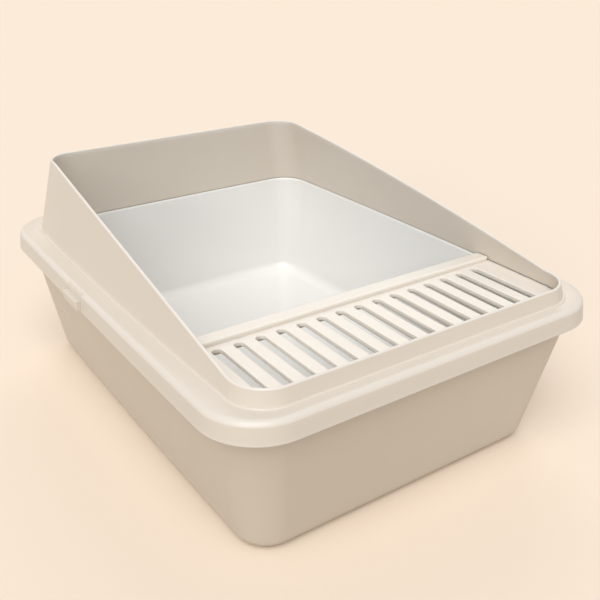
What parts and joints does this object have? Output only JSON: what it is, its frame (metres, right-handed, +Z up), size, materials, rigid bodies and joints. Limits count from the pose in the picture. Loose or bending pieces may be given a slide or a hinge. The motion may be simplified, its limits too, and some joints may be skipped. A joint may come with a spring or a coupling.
{
  "type": "cat litter box",
  "caption": "Tapered litter tub with a hung inner pan, a slotted step across the front and a leaning splash guard held by side latches.",
  "frame": {"origin": "on the floor under the middle of the object's bounding box", "axes": "+Z up, -Y is the low front with the step, +X is the right-hand side seen from the front"},
  "size_m": [0.439, 0.5596, 0.252],
  "materials": {
    "tub_plastic": "satin warm greige moulded polypropylene",
    "pan_plastic": "smooth white moulded polypropylene",
    "step_plastic": "satin cream moulded polypropylene",
    "guard_plastic": "satin light greige moulded polypropylene",
    "latch_plastic": "satin light greige moulded polypropylene",
    "pin_steel": "drawn wire"
  },
  "bodies": {
    "tub": {"base_tub": "tub_plastic"},
    "pan": {"litter_pan": "pan_plastic"},
    "grid": {"step_grid": "step_plastic"},
    "guard": {"splash_guard": "guard_plastic", "latch_pin_left": "pin_steel", "latch_pin_right": "pin_steel"},
    "latch_left": {"side_latch_left": "latch_plastic"},
    "latch_right": {"side_latch_right": "latch_plastic"}
  },
  "joints": [
    {"name": "pan_lift", "type": "slide", "parent": "tub", "child": "pan", "axis": [0, 0, 1], "range_m": [0, 0.17]},
    {"name": "grid_lift", "type": "slide", "parent": "pan", "child": "grid", "axis": [0, 0, 1], "range_m": [0, 0.06]},
    {"name": "guard_lift", "type": "slide", "parent": "grid", "child": "guard", "axis": [0, 0, 1], "range_m": [0, 0.12]},
    {"name": "latch_left_hinge", "type": "hinge", "parent": "guard", "child": "latch_left", "pos_m": [-0.21175, 0.044, 0.1605], "axis": [0, 1, 0], "range_deg": [0, 50]},
    {"name": "latch_right_hinge", "type": "hinge", "parent": "guard", "child": "latch_right", "pos_m": [0.21175, 0.044, 0.1605], "axis": [0, -1, 0], "range_deg": [0, 50]}
  ]
}
